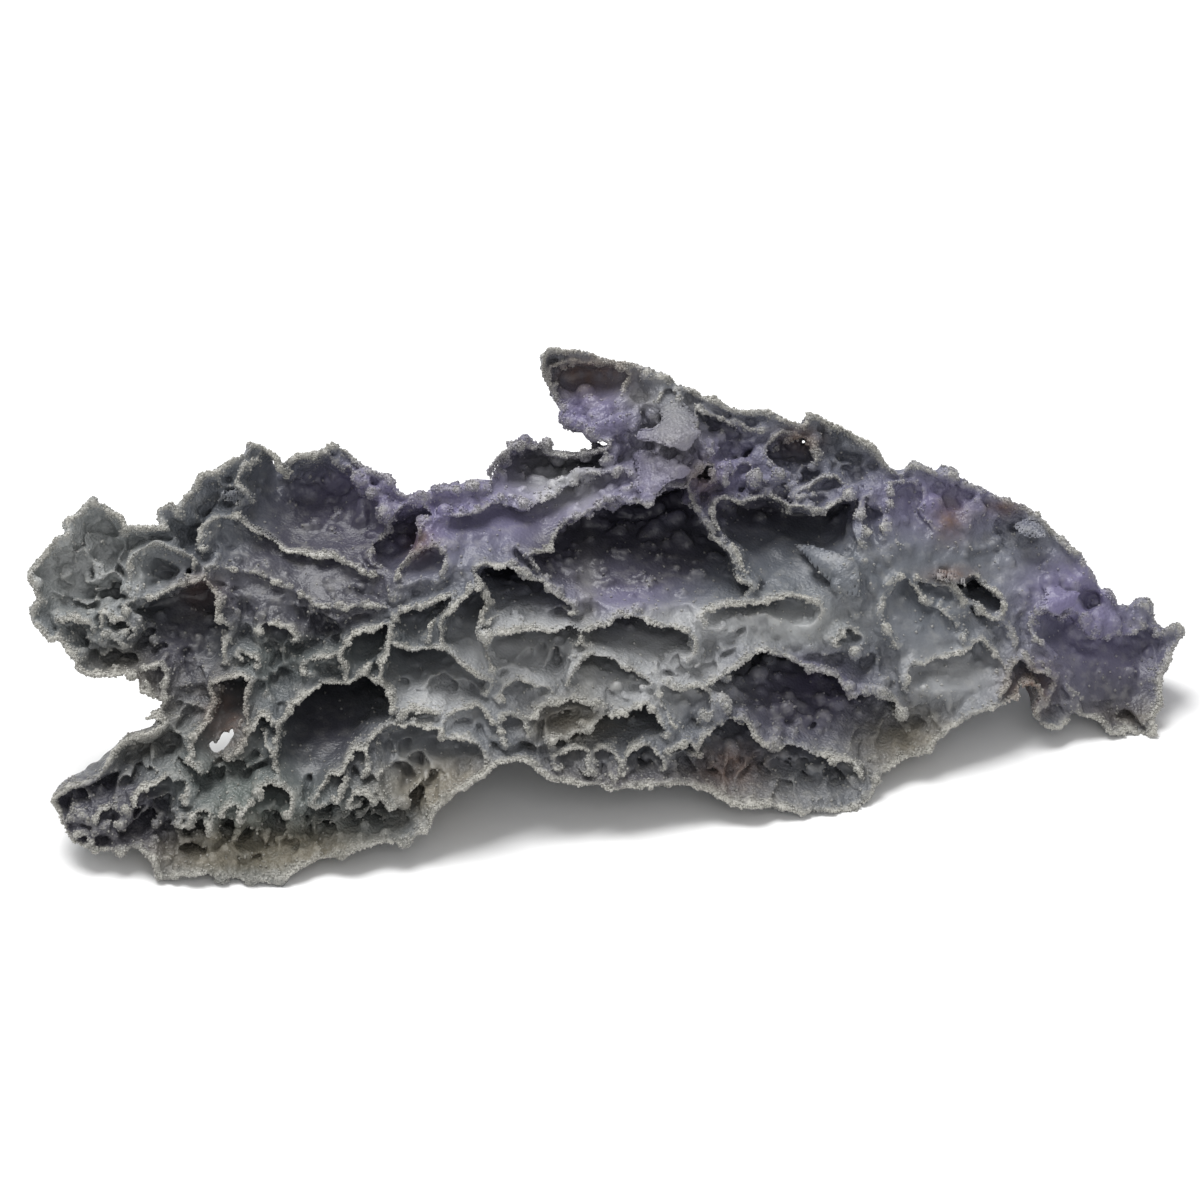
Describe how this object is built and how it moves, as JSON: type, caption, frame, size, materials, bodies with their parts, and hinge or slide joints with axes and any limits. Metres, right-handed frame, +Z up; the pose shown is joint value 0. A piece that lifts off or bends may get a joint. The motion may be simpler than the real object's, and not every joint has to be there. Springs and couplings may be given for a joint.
{
  "type": "grape agate specimen",
  "caption": "Natural piece of grape agate: a long, low honeycomb of thin lilac-grey chalcedony walls with deep pouches, leaning leaves, small round beads and three low feet.",
  "frame": {"origin": "middle of the bounding box, on the ground that the feet stand on", "axes": "+X along the specimen towards its thin violet end, -Y towards the open face, +Z up"},
  "size_m": [0.224, 0.0966, 0.0696],
  "materials": {
    "chalcedony": "dull, waxy and faintly translucent, lilac to blue-grey, with pale sugary edges"
  },
  "bodies": {
    "root": {"grape_agate": "chalcedony"}
  },
  "joints": []
}
